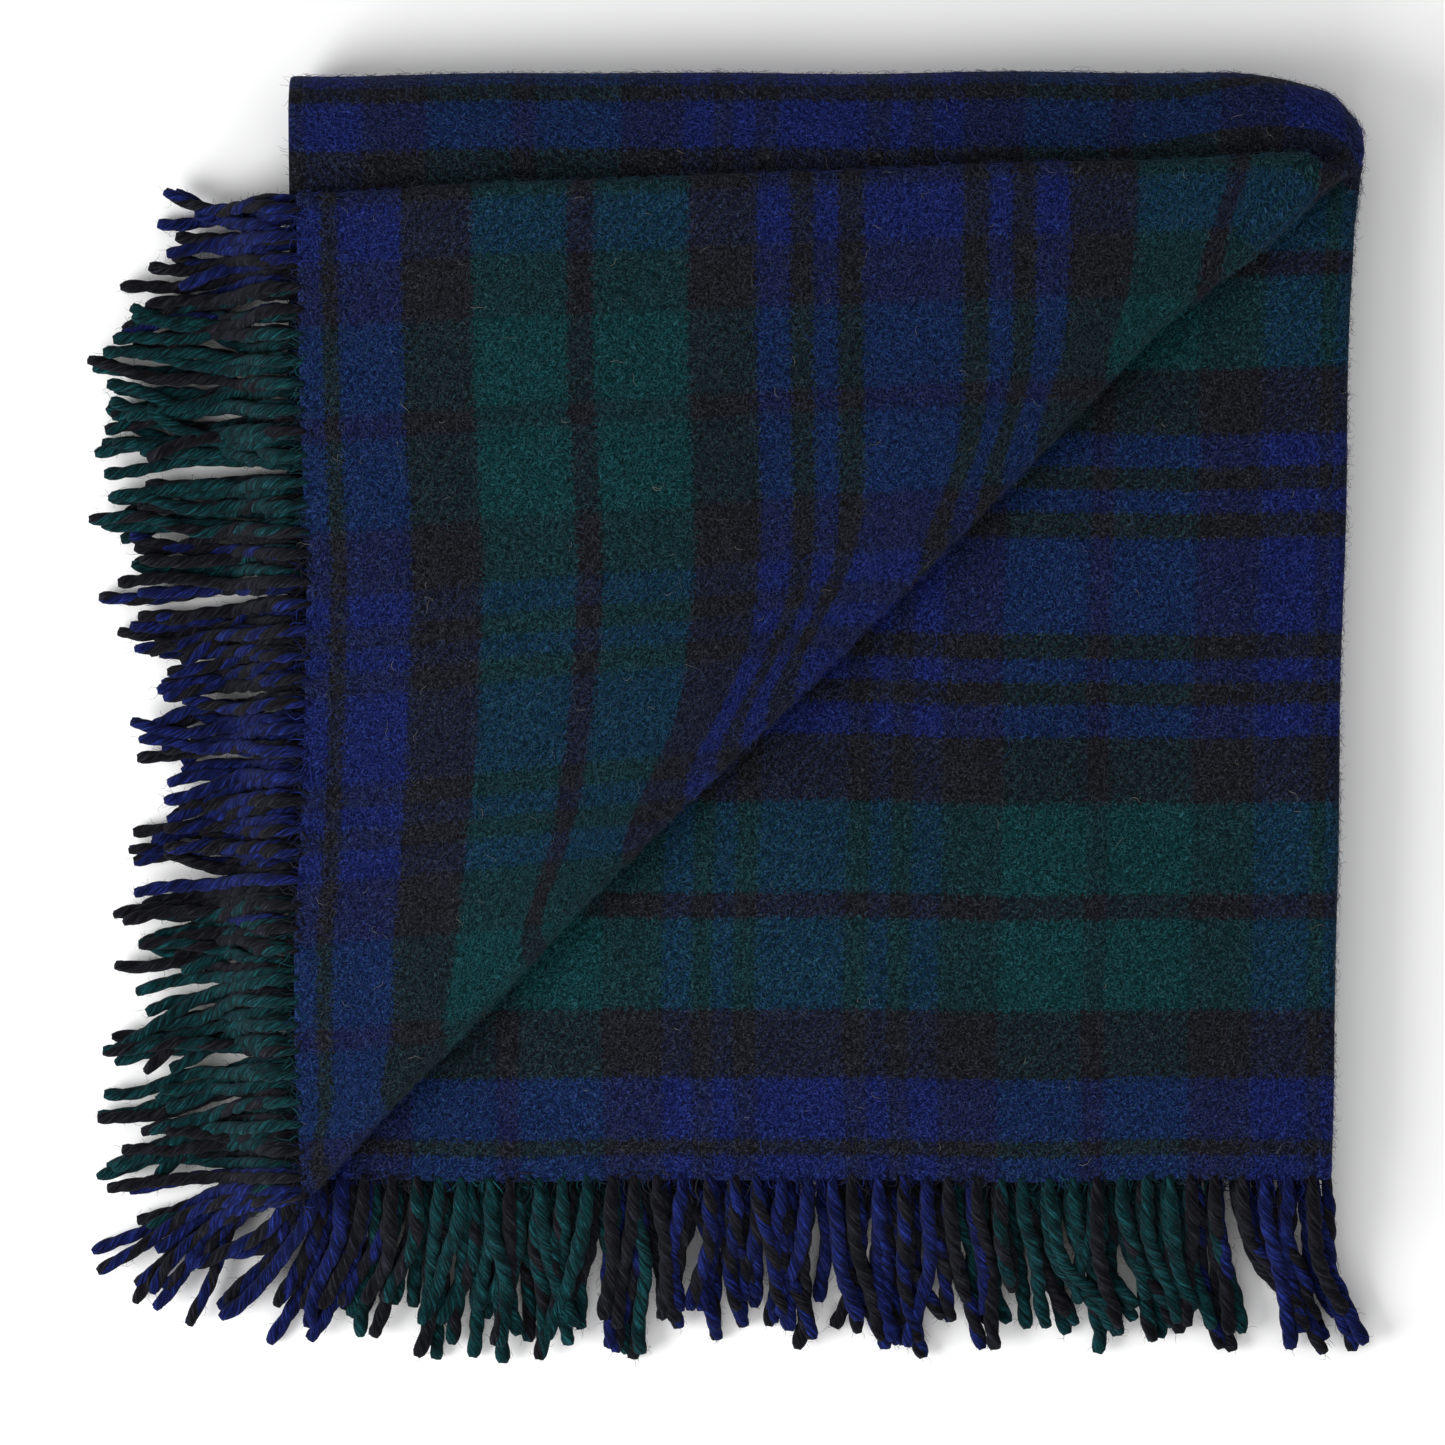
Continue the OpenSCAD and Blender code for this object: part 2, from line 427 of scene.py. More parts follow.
class Shader:
    """Short ways to add and link a material's nodes."""

    def __init__(self, name):
        self.material = bpy.data.materials.new(name)
        self.material.use_nodes = True
        self.tree = self.material.node_tree
        self.bsdf = self.tree.nodes["Principled BSDF"]

    def node(self, kind, **settings):
        made = self.tree.nodes.new(kind)
        for key, value in settings.items():
            setattr(made, key, value)
        return made

    def link(self, source, target):
        self.tree.links.new(source, target)

    def feed(self, socket, value):
        if isinstance(value, bpy.types.NodeSocket):
            self.link(value, socket)
        else:
            socket.default_value = value

    def math(self, operation, *values):
        made = self.node("ShaderNodeMath", operation=operation)
        for socket, value in zip(made.inputs, values):
            self.feed(socket, value)
        return made.outputs[0]

    def mix(self, factor, a, b):
        made = self.node("ShaderNodeMix", data_type="RGBA")
        self.feed(made.inputs["Factor"], factor)
        self.feed(made.inputs[6], a)
        self.feed(made.inputs[7], b)
        return made.outputs[2]

    def noise(self, vector, scale, detail=2.0, roughness=0.5):
        made = self.node("ShaderNodeTexNoise")
        self.feed(made.inputs["Vector"], vector)
        self.feed(made.inputs["Scale"], scale)
        self.feed(made.inputs["Detail"], detail)
        self.feed(made.inputs["Roughness"], roughness)
        return made.outputs["Fac"]

    def scaled(self, vector, scale):
        made = self.node("ShaderNodeMapping")
        self.feed(made.inputs["Vector"], vector)
        made.inputs["Scale"].default_value = scale
        return made.outputs["Vector"]

    def drawn_out(self, vector, angle, length):
        """Turns a place by an angle, then draws out what is painted there."""
        made = self.node("ShaderNodeMapping", vector_type="TEXTURE")
        self.feed(made.inputs["Vector"], vector)
        made.inputs["Scale"].default_value = (1, length, 1)
        made.inputs["Rotation"].default_value = (0, 0, angle)
        return made.outputs["Vector"]

    def rescale(self, value, ends, new_ends):
        made = self.node("ShaderNodeMapRange")
        self.feed(made.inputs["Value"], value)
        for name, end in zip(("From Min", "From Max", "To Min", "To Max"), (*ends, *new_ends)):
            self.feed(made.inputs[name], end)
        return made.outputs["Result"]

    def product(self, *values):
        total = values[0]
        for value in values[1:]:
            total = self.math("MULTIPLY", total, value)
        return total

    def bump(self, height, distance, strength=1.0, normal=None):
        made = self.node("ShaderNodeBump")
        self.feed(made.inputs["Height"], height)
        made.inputs["Distance"].default_value = distance
        made.inputs["Strength"].default_value = strength
        if normal is not None:
            self.link(normal, made.inputs["Normal"])
        return made.outputs["Normal"]


def sett_ramp(shader, distance, pivot, half_repeat):
    """Colour roots of the band that lies at a distance, with the sett mirrored at each pivot."""
    mirrored = shader.math("PINGPONG", shader.math("SUBTRACT", distance, pivot), half_repeat)
    ramp = shader.node("ShaderNodeValToRGB")
    ramp.color_ramp.interpolation = "CONSTANT"
    shader.link(shader.math("DIVIDE", mirrored, half_repeat), ramp.inputs["Fac"])
    total = sum(count for _, count in SETT)
    stops = ramp.color_ramp.elements
    start = 0
    for i, (colour, count) in enumerate(SETT):
        stop = stops[i] if i < 2 else stops.new(start / total)
        stop.position = start / total
        stop.color = (*(c ** (1 / DYE_ROOT) for c in WOOL[colour]), 1)
        start += count
    return ramp.outputs["Color"]


def wool_finish(shader, roughness=0.95):
    shader.bsdf.inputs["Roughness"].default_value = roughness
    shader.bsdf.inputs["Specular IOR Level"].default_value = 0.04
    shader.bsdf.inputs["Sheen Weight"].default_value = 0.05
    shader.bsdf.inputs["Sheen Roughness"].default_value = 0.6
    shader.bsdf.inputs["Sheen Tint"].default_value = (0.5, 0.55, 0.7, 1)


def felt_grain(shader, place):
    """Light curly fibres over dark hollows: streaks in three directions, bent by a slow warp."""
    bend = shader.node("ShaderNodeTexNoise")
    shader.link(place, bend.inputs["Vector"])
    bend.inputs["Scale"].default_value, bend.inputs["Detail"].default_value = GRAIN_BEND
    bent = shader.node("ShaderNodeVectorMath", operation="MULTIPLY_ADD")
    shader.link(bend.outputs["Color"], bent.inputs[0])
    bent.inputs[1].default_value = (STREAK_BEND, STREAK_BEND, STREAK_BEND)
    shader.link(place, bent.inputs[2])
    streaks = [
        shader.noise(shader.drawn_out(bent.outputs[0], angle, STREAK_LENGTH), *GRAIN_STREAKS)
        for angle in STREAK_ANGLES
    ]
    top = shader.math("MAXIMUM", shader.math("MAXIMUM", *streaks[:2]), streaks[2])
    fine = shader.product(shader.noise(place, *GRAIN_FINE), 1 - STREAK_SHARE)
    return shader.math("ADD", shader.product(top, STREAK_SHARE), fine)


def cloth_setts(shader, place):
    """Colour roots of the weft and the warp at a place, with band edges dragged about by the nap."""
    split = shader.node("ShaderNodeSeparateXYZ")
    shader.link(place, split.inputs[0])
    drag = shader.rescale(shader.noise(place, *BAND_DRAG), NOISE_ENDS, DRAG)
    weft = sett_ramp(shader, shader.math("ADD", split.outputs[1], drag), WEFT_PIVOT, WEFT_HALF_REPEAT)
    warp = sett_ramp(shader, shader.math("ADD", split.outputs[0], drag), WARP_PIVOT, WARP_HALF_REPEAT)
    return weft, warp


def dye(shader, roots, shade):
    """Turns colour roots into a reflectance, lightened or darkened by a shade."""
    shaded = shader.node("ShaderNodeVectorMath", operation="SCALE")
    shader.link(roots, shaded.inputs[0])
    shader.link(shade, shaded.inputs["Scale"])
    dyed = shader.node("ShaderNodeGamma")
    shader.link(shaded.outputs[0], dyed.inputs["Color"])
    dyed.inputs["Gamma"].default_value = DYE_ROOT
    return dyed.outputs[0]


def tartan_material():
    """Brushed twill: the sett both ways, a faint wale, felted grain and a raised nap."""
    shader = Shader("tartan_cloth")
    place = shader.node("ShaderNodeUVMap").outputs["UV"]
    weft, warp = cloth_setts(shader, place)
    # Twill: diagonal wales of weft and warp floats, half buried in the felted nap
    wale = shader.node("ShaderNodeTexWave", wave_type="BANDS", bands_direction="DIAGONAL")
    shader.feed(wale.inputs["Vector"], shader.scaled(place, (1, 1, 0)))
    wale.inputs["Scale"].default_value = WALE_SCALE
    wale.inputs["Distortion"].default_value = 1.2
    wale.inputs["Detail"].default_value = 2
    wale.inputs["Detail Scale"].default_value = 6
    floats = shader.rescale(wale.outputs["Fac"], (0, 1), FLOAT_SHARES)
    fleck = shader.rescale(shader.noise(place, *FLECKS), NOISE_ENDS, FLECK_SHARES)
    share = shader.math("ADD", shader.math("ADD", floats, fleck), 1 - WEFT_SHARE)
    mixed = shader.mix(share, weft, warp)
    # Felted grain, tufts and slow changes of shade
    grain = felt_grain(shader, place)
    tufts = shader.noise(place, *TUFTS)
    shade = shader.product(
        shader.rescale(grain, (0.47, 0.68), (0.84, 1.11)),
        shader.rescale(tufts, NOISE_ENDS, (0.98, 1.02)),
        shader.rescale(shader.noise(place, *SLOW_SHADE), NOISE_ENDS, (0.985, 1.015)),
        shader.rescale(wale.outputs["Fac"], (0, 1), (0.985, 1.015)),
    )
    # Painted glints: where the grain is highest, the colour is mixed towards the pale glint colour
    painted_glint_share = shader.rescale(grain, (0.575, 0.69), (0, 0.135))
    shader.link(shader.mix(painted_glint_share, dye(shader, mixed, shade), PAINTED_GLINT), shader.bsdf.inputs["Base Color"])
    nap = shader.bump(grain, 0.0010, 0.5)
    relief = shader.bump(wale.outputs["Fac"], 0.0004, 0.35, nap)
    relief = shader.bump(tufts, 0.0012, 0.4, relief)
    shader.link(relief, shader.bsdf.inputs["Normal"])
    wool_finish(shader)
    return shader.material


def fibre_material():
    """Loose fibres of the cloth, painted lighter than it and with a painted glint, for the light that they
    catch. A few are undyed.
    """
    shader = Shader("loose_fibre")
    place = shader.node("ShaderNodeUVMap").outputs["UV"]
    weft, warp = cloth_setts(shader, place)
    mixed = shader.mix(1 - WEFT_SHARE, weft, warp)
    # Painted highlight: the fibres' shade runs above 1, lighter than the cloth
    shade = shader.rescale(shader.noise(place, *FIBRE_SHADE), NOISE_ENDS, (0.99, 1.19))
    painted_glint_share = shader.rescale(shader.noise(place, *FIBRE_GLINT), (0.35, 0.7), (0, 0.20))
    undyed = shader.rescale(shader.noise(place, *FIBRE_UNDYED), (0.80, 0.82), (0, 1))
    colour = shader.mix(undyed, shader.mix(painted_glint_share, dye(shader, mixed, shade), PAINTED_GLINT), PALE_WOOL)
    shader.link(colour, shader.bsdf.inputs["Base Color"])
    wool_finish(shader, roughness=0.7)
    return shader.material


def yarn_material():
    """Twisted yarn: the warp's colours, with fine fibres slanting round each single. It is painted darker
    than the cloth and carries painted glints.
    """
    shader = Shader("fringe_yarn")
    place = shader.node("ShaderNodeUVMap").outputs["UV"]
    lie = shader.node("ShaderNodeAttribute", attribute_name="lie").outputs["Vector"]
    split = shader.node("ShaderNodeSeparateXYZ")
    shader.link(place, split.inputs[0])
    warp = sett_ramp(shader, split.outputs[0], WARP_PIVOT, WARP_HALF_REPEAT)
    streaks = shader.noise(shader.scaled(lie, (1, 1, YARN_DRAWN_OUT)), *YARN_STREAKS)
    # The streaks' shades centre below 1, so the strands come out darker than the cloth: partly painted
    # shade between the strands, partly the yarn's thinner nap
    shade = shader.product(
        shader.rescale(streaks, (0.34, 0.66), (0.76, 1.10)),
        shader.rescale(shader.noise(lie, *YARN_SLOW), NOISE_ENDS, (0.97, 1.03)),
        shader.rescale(shader.noise(lie, *YARN_FUZZ), NOISE_ENDS, (0.92, 1.06)),
    )
    # Painted glints where the streaks are lightest
    painted_glint_share = shader.rescale(streaks, (0.52, 0.72), (0, 0.05))
    shader.link(shader.mix(painted_glint_share, dye(shader, warp, shade), PAINTED_GLINT), shader.bsdf.inputs["Base Color"])
    shader.link(shader.bump(streaks, 0.0010, 0.75), shader.bsdf.inputs["Normal"])
    wool_finish(shader)
    return shader.material


# ---------------------------------------------------------------- meshes

def mesh_piece(name, points, face_groups, uvs, material, lie=None):
    """An object from points, faces in groups with the same number of corners, and a UV for each
    point. A yarn also has, for each point, where it lies round and along its fibres."""
    corners = np.concatenate([group.ravel() for group in face_groups]).astype(np.int32)
    sizes = np.concatenate([np.full(len(group), group.shape[1]) for group in face_groups])
    mesh = bpy.data.meshes.new(name)
    mesh.vertices.add(len(points))
    mesh.vertices.foreach_set("co", np.asarray(points, np.float32).ravel())
    mesh.loops.add(len(corners))
    mesh.loops.foreach_set("vertex_index", corners)
    mesh.polygons.add(len(sizes))
    mesh.polygons.foreach_set("loop_start", (np.cumsum(sizes) - sizes).astype(np.int32))
    mesh.update(calc_edges=True)
    layer = mesh.uv_layers.new(name="cloth")
    layer.data.foreach_set("uv", np.asarray(uvs, np.float32)[corners].ravel())
    if lie is not None:
        mesh.attributes.new("lie", "FLOAT_VECTOR", "POINT")
        mesh.attributes["lie"].data.foreach_set("vector", np.asarray(lie, np.float32).ravel())
    mesh.polygons.foreach_set("use_smooth", np.ones(len(sizes), bool))
    mesh.validate()
    mesh.materials.append(material)
    piece = bpy.data.objects.new(name, mesh)
    scene.collection.objects.link(piece)
    return piece


class Heap:
    """Gathers small meshes into one."""

    def __init__(self):
        self.points = []
        self.faces = {}
        self.uvs = []
        self.lies = []
        self.count = 0

    def add(self, points, face_groups, uvs, lies):
        for group in face_groups:
            self.faces.setdefault(group.shape[1], []).append(group + self.count)
        self.points.append(points)
        self.uvs.append(uvs)
        self.lies.append(lies)
        self.count += len(points)

    def piece(self, name, material):
        groups = [np.concatenate(groups) for groups in self.faces.values()]
        return mesh_piece(name, np.concatenate(self.points), groups, np.concatenate(self.uvs), material,
                          np.concatenate(self.lies))


# A direction that no line of fibre runs along, which its tube's corners are counted from
ODD_DIRECTION = 0.31, 0.17, 0.94
UPWARDS = 0, 0, 1


def unit(vectors):
    return vectors / np.maximum(np.linalg.norm(vectors, axis=-1, keepdims=True), 1e-12)


def tube_mesh(lines, radii, corners, reference=ODD_DIRECTION):
    """Closed tubes round many lines at once, from the radii along a line: points in rings, and faces."""
    count, steps, _ = lines.shape
    tangent = unit(np.gradient(lines, axis=1))
    side = unit(np.cross(tangent, reference))
    up = np.cross(side, tangent)
    angles = 2 * math.pi * np.arange(corners)[:, None] / corners
    ring = side[:, :, None] * np.cos(angles) + up[:, :, None] * np.sin(angles)
    points = lines[:, :, None] + ring * radii[None, :, None, None]
    index = np.arange(count * steps * corners).reshape(count, steps, corners)
    after = np.roll(index, -1, axis=2)
    sides = np.stack([index[:, :-1], index[:, 1:], after[:, 1:], after[:, :-1]], -1).reshape(-1, 4)
    ends = np.concatenate([index[:, 0], index[:, -1, ::-1]])
    return points, [sides, ends]


def stations(*runs):
    """Distances along a line, from runs of (length, step)."""
    places = [0.0]
    for length, step in runs:
        if length > 0:
            count = max(1, round(length / step))
            places += [places[-1] + length * (i + 1) / count for i in range(count)]
    return np.array(places)


def grid_normals(points):
    return unit(np.cross(np.gradient(points, axis=0), np.gradient(points, axis=1)))


def slab_faces(rows, columns):
    """Quads of a closed slab: an upper grid of points, then a lower one."""
    index = np.arange(rows * columns).reshape(rows, columns)
    a, b, c, d = index[:-1, :-1], index[1:, :-1], index[1:, 1:], index[:-1, 1:]
    upper = np.stack([a, b, c, d], -1).reshape(-1, 4)
    lower = upper[:, ::-1] + rows * columns
    rim = np.concatenate([index[0], index[1:, -1], index[-1, -2::-1], index[-2:0:-1, 0]])
    after = np.roll(rim, -1)
    sides = np.stack([rim, after, after + rows * columns, rim + rows * columns], -1)
    return np.concatenate([upper, lower, sides])


# Lengths and steps of the cloth's grid at a free edge, which is rounded off over them
EDGE_RUNS = (0.0004, 0.0004), (0.0005, 0.0005)
EDGE_ROUND = 0.0009
EDGE_SHARE = 0.06
# Its steps elsewhere
SEEN_STEP = 0.0025
HIDDEN_STEP = 0.005
CREASE_STEP = 0.0005
SIDE_FOLD_STEP = 0.0008
TOP_FOLD_STEP = 0.002
BOTTOM_LAYER_STEP = 0.006
BOTTOM_FOLD_STEP = 0.001


def edge_softness(distance):
    """How thick the cloth is at a distance from a free edge, as a share of its full thickness."""
    return np.sqrt(np.clip(distance / EDGE_ROUND, EDGE_SHARE, 1))


def cloth_piece(half, ply, material):
    """One ply of one half of the throw, as a closed sheet of cloth."""
    crease, flat, fold = ply_runs(ply)
    runs = path_runs(half)
    step = SEEN_STEP if half == "outer" or ply == 0 else HIDDEN_STEP
    if ply < CREASED:
        across = stations((crease, CREASE_STEP), (flat, step), (fold, SIDE_FOLD_STEP))
    else:
        across = stations(*EDGE_RUNS, (flat - EDGE_ROUND, step), (fold, SIDE_FOLD_STEP))
    along = stations(*EDGE_RUNS, (runs[0] - EDGE_ROUND, step), (runs[1], TOP_FOLD_STEP),
                     (runs[2], BOTTOM_LAYER_STEP), (runs[3], BOTTOM_FOLD_STEP))
    grid_across, grid_along = np.meshgrid(across, along, indexing="ij")
    middle = cloth_point(half, ply, grid_across, grid_along)
    normal = grid_normals(middle)
    soft = edge_softness(grid_along)
    if ply >= CREASED:
        soft = np.minimum(soft, edge_softness(grid_across))
    offset = normal * (soft * CLOTH_T / 2 * PLY_FILL)[..., None]
    points = np.concatenate([(middle + offset).reshape(-1, 3), (middle - offset).reshape(-1, 3)])
    u, v = pattern_place(half, ply, grid_across, grid_along)
    uv = np.stack([u, v], -1).reshape(-1, 2)
    return mesh_piece(f"{half}_cloth_ply_{ply + 1}", points, [slab_faces(*u.shape)],
                      np.concatenate([uv, uv]), material)


# ---------------------------------------------------------------- loose fibres

FIBRE_R = 0.00006
FIBRE_STEPS = 5
FIBRE_SIDES = 3
# Length and lift of the nap's fibres, and of longer stray ones
NAP = 0.0042, 0.0006
STRAY = 0.013, 0.0012
# How far a fibre's root is sunk in the cloth
ROOT_DEPTH = 0.0001
# How many fibres are sown on the turned corner and its roll, on the second layer, on the top band
# and on a side fold, before those outside their range are dropped
CORNER_FIBRES = 50000
LOWER_FIBRES = 26000
TOP_FIBRES = 3600
FOLD_FIBRES = 1100
CORNER_STRAYS = 260
LOWER_STRAYS = 130
TOP_STRAYS = 30
# How much of layer 1 shows below the top fold, and how much of the fold has fibres
TOP_BAND = 0.022
TOP_FOLD_SHARE = 0.7
# How a fibre curls: the spread of its turn, its wiggle, and how far through its arch it ends
CURL = 1.3
WIGGLE = 0.5
WIGGLE_RATE = 7
ARCH = 0.62 * math.pi
# Spreads of the fibres' lengths and heights
LENGTH_SHARES = 0.5, 1.5
HEIGHT_SHARES = 0.2, 1.6
# A fibre is thickest a little way from its root, and this much of its radius is gone at its tip
TAPER_FROM = -0.6
TAPER = 0.75
# How far apart two places are, to find a direction on the cloth
PROBE = 0.0003
# How far fibres on a side fold start before it, and frayed threads keep off the ends of their edge
MARGIN = 0.001
# Ranges of the distance beyond the diagonal, which counts as -1 below the top layer
BEFORE_ROLL = -2, 0
ON_ROLL = -0.002, math.pi * ROLL_R
PAST_ROLL = math.pi * ROLL_R, 2
# Which way each showing ply's outer face looks, against its grid's normal
OUTWARD = {("outer", 0): -1, ("outer", 3): 1, ("inner", 0): 1, ("inner", 3): -1}


def hair_lines(starts, along, away, length, lift, spread):
    """Short curling lines that rise from their starts and settle, within an angle of along."""
    count = len(starts)
    across = np.cross(away, along)
    heading = rng.uniform(-spread, spread, count)
    curl = rng.normal(0, CURL, count)
    wiggle = rng.uniform(0, 2 * math.pi, count)
    step = length * rng.uniform(*LENGTH_SHARES, count) / (FIBRE_STEPS - 1)
    height = lift * rng.uniform(*HEIGHT_SHARES, count)
    lines = [starts]
    for i in range(1, FIBRE_STEPS):
        t = i / (FIBRE_STEPS - 1)
        before = (i - 1) / (FIBRE_STEPS - 1)
        turn = (heading + curl * t + WIGGLE * np.sin(WIGGLE_RATE * t + wiggle))[:, None]
        rise = height * (math.sin(ARCH * t) - math.sin(ARCH * before))
        way = along * np.cos(turn) + across * np.sin(turn)
        lines.append(lines[-1] + way * step[:, None] + away * rise[:, None])
    return np.stack(lines, axis=1)


def add_hairs(heap, lines, radius, uv):
    """Thin tubes along hair lines, none below the floor, each coloured as its place in the pattern."""
    taper = radius * (1 - TAPER * np.linspace(TAPER_FROM, 1, FIBRE_STEPS) ** 2)
    points, faces = tube_mesh(lines, taper, FIBRE_SIDES)
    points[..., 2] = np.maximum(points[..., 2], FLOOR_Z)
    places = np.repeat(uv, FIBRE_STEPS * FIBRE_SIDES, axis=0)
    lies = np.repeat(rng.uniform(0, 1, (len(lines), 3)), FIBRE_STEPS * FIBRE_SIDES, axis=0)
    heap.add(points.reshape(-1, 3), faces, places, lies)


def surface_frame(half, ply, across, along):
    """Places just inside a ply's outer face, with the directions across it and away from it there."""
    here = cloth_point(half, ply, across, along)
    side = cloth_point(half, ply, across + PROBE, along) - here
    ahead = cloth_point(half, ply, across, along + PROBE) - here
    away = unit(np.cross(side, ahead)) * OUTWARD[half, ply]
    return here + away * (CLOTH_T / 2 - ROOT_DEPTH), unit(side), away


def fibres(heap, half, ply, count, length, lift, region, beyond=None):
    """Fibres over a region of a ply's outer face, given as ranges of across and along. They can be
    kept to a range of distances beyond the diagonal."""
    across = rng.uniform(*region[0], count)
    along = rng.uniform(*region[1], count)
    if beyond:
        x, height = cross_section(ply, across)
        distance = beyond_diagonal(x, side_path(half, along, height)[0])
        distance = np.where(on_top_layer(half, along), distance, -1)
        kept = (distance > beyond[0]) & (distance < beyond[1])
        across = across[kept]
        along = along[kept]
    here, side, away = surface_frame(half, ply, across, along)
    lines = hair_lines(here, side, away, length, lift, math.pi)
    add_hairs(heap, lines, FIBRE_R, np.stack(pattern_place(half, ply, across, along), -1))


def face_region(half):
    """The whole of ply 0 along its half's upper layer."""
    return (0, WIDTHS[0]), (0, path_runs(half)[0])


def fold_region(half, ply):
    """A ply's right fold, all the way to the bottom fold."""
    fold_start = WIDTHS[ply] - ply_runs(ply)[2]
    return (fold_start - MARGIN, WIDTHS[ply]), (0, sum(path_runs(half)[:3]))


def fold_fibres(heap, half, beyond=None):
    """Fibres on the band's side fold."""
    for ply in OUTSIDE_PLIES:
        fibres(heap, half, ply, FOLD_FIBRES, *NAP, fold_region(half, ply), beyond)


def roll_nap(material):
    """Loose fibres on the roll that the corner turns over."""
    heap = Heap()
    fibres(heap, "outer", 0, CORNER_FIBRES, *NAP, face_region("outer"), ON_ROLL)
    return heap.piece("roll_nap", material)


def corner_nap(material):
    """Loose fibres on the turned corner, which lies face up, and on its side fold."""
    heap = Heap()
    fibres(heap, "outer", 0, CORNER_FIBRES, *NAP, face_region("outer"), PAST_ROLL)
    fibres(heap, "outer", 0, CORNER_STRAYS, *STRAY, face_region("outer"), PAST_ROLL)
    fold_fibres(heap, "outer", PAST_ROLL)
    return heap.piece("corner_nap", material)


def lower_nap(material):
    """Loose fibres on the second layer and its folds."""
    heap = Heap()
    fibres(heap, "inner", 0, LOWER_FIBRES, *NAP, face_region("inner"))
    fibres(heap, "inner", 0, LOWER_STRAYS, *STRAY, face_region("inner"))
    fold_fibres(heap, "inner")
    return heap.piece("lower_nap", material)


def top_nap(material):
    """Loose fibres on the band at the top edge, round the top fold and on the outer side folds."""
    runs = path_runs("outer")
    top = (0, WIDTHS[3]), (runs[0] - TOP_BAND, runs[0] + TOP_FOLD_SHARE * runs[1])
    heap = Heap()
    fibres(heap, "outer", 3, TOP_FIBRES, *NAP, top)
    fibres(heap, "outer", 3, TOP_STRAYS, *STRAY, top)
    fold_fibres(heap, "outer", BEFORE_ROLL)
    return heap.piece("top_nap", material)


# ---------------------------------------------------------------- the fringe

# Strands on one ply
STRANDS = 43
# Radius of a single and how far it is from the middle of its strand
SINGLE_R = {"corner": 0.0018, "lower": 0.0021}
SINGLE_OFFSET = 0.0005
# Unevenness of a single: share and radians a metre
SLUB = 0.05
SLUB_RATE = 700
# A strand is thinner where it leaves the cloth, and each single's last rings are drawn in
ROOT_SHARE = 0.60
ROOT_GROWTH = 0.010
TIP_SHARES = 0.93, 0.6
# Twist of the two singles round each other, and of the fibres round a single, in radians a metre
STRAND_TWIST = 2 * math.pi / 0.0165
FIBRE_TWIST = -360
STRAND_STEP = 0.0017
TUBE_SIDES = 9
# How far a strand starts inside the cloth, and how far apart its singles lay in the warp
STRAND_ROOT = 0.0015
SINGLE_SPACING = 0.0035
# How far strands of neighbouring rows are staggered and strands stray, as shares of their spacing
STAGGER = 0.22
STRAYING = 0.12
# Height of the lowest row's strands where they lie, the step up to each next row, and its spread
REST_Z = 0.0027
REST_STEP = 0.0016
REST_SPREAD = 0.001
# Loose hairs: how many on a single, the first ring that has them, and their length and lift
HAIRS_A_SINGLE = 26
FIRST_HAIR_RING = 4
HAIR = 0.0032, 0.0008
# Threads that fray from the cloth's edge: count a ply, radius, length and lift, sideways spread,
# how far they start from the edge, and how far they droop
FRAY_COUNT = 260
FRAY_R = 0.00028
FRAY = 0.0075, 0.0012
FRAY_SPREAD = 0.35
FRAY_STARTS = 0.0005, 0.0040
FRAY_DROOP = 0.0030

# Straight out from the edge of the cloth, for each fringe
STRAIGHT_OUT = {"corner": Vector((-1, 0, 0)), "lower": Vector((0, -1, 0))}
# How far strands turn from straight out, to their left as they run: by the Y of a corner strand,
# and by the X of a lower one
CORNER_LEANS = (
    (-0.158, 1.15), (-0.155, 0.65), (-0.151, 0.25), (-0.146, 0.15), (-0.110, 0.30), (-0.085, 0.30),
    (-0.055, 0.08), (0.050, 0.06), (0.120, -0.04), (0.155, 0.10), (0.165, 0.0), (0.172, -0.25),
)
LOWER_LEANS = (
    (-0.142, -0.95), (-0.130, -0.60), (-0.112, -0.35), (-0.080, -0.20), (-0.040, -0.05), (0.030, 0.08),
    (0.085, 0.22), (0.110, 0.55), (0.130, 0.35), (0.150, 0.10), (0.172, 0.38), (0.205, 0.42),
)
# Mean length of a strand, by the same places, the spread about it, and how many spreads off it may be
CORNER_LENGTHS = (
    (-0.158, 0.070), (-0.105, 0.073), (-0.075, 0.066), (-0.040, 0.060), (0.020, 0.062),
    (0.050, 0.071), (0.070, 0.078), (0.110, 0.075), (0.140, 0.066), (0.160, 0.058), (0.172, 0.050),
)
LOWER_LENGTHS = (
    (-0.140, 0.053), (-0.040, 0.054), (-0.010, 0.050), (0.015, 0.048), (0.040, 0.054), (0.080, 0.052),
    (0.092, 0.044), (0.105, 0.051), (0.180, 0.053),
)
LENGTH_SPREAD = {"corner": 0.007, "lower": 0.0055}
LENGTH_LIMIT = 1.6
# How much neighbouring strands lean together, which parts the fringe into clumps, and the waves that
# it goes by, in radians a metre and a phase
SWAY = 0.12
SWAY_WAVES = ((190, 0), (330, 1.3))
# Each strand's own spread of lean, of a slow change of heading and of a bend
LEAN_SPREAD = 0.07
HEADING_SPREAD = 0.06
BEND = 0.25
# Ranges of its waves, in radians, and of their wavelengths
WAVE = 0.05, 0.25
WAVELENGTH = 0.035, 0.06
# Where along a strand it starts to come down, over what range of lengths, and how steeply it may
DROP_START = 0.003
DROP_LENGTH = 0.036, 0.050
STEEPEST = 0.93


def read_table(table, place):
    return float(np.interp(place, *zip(*table)))


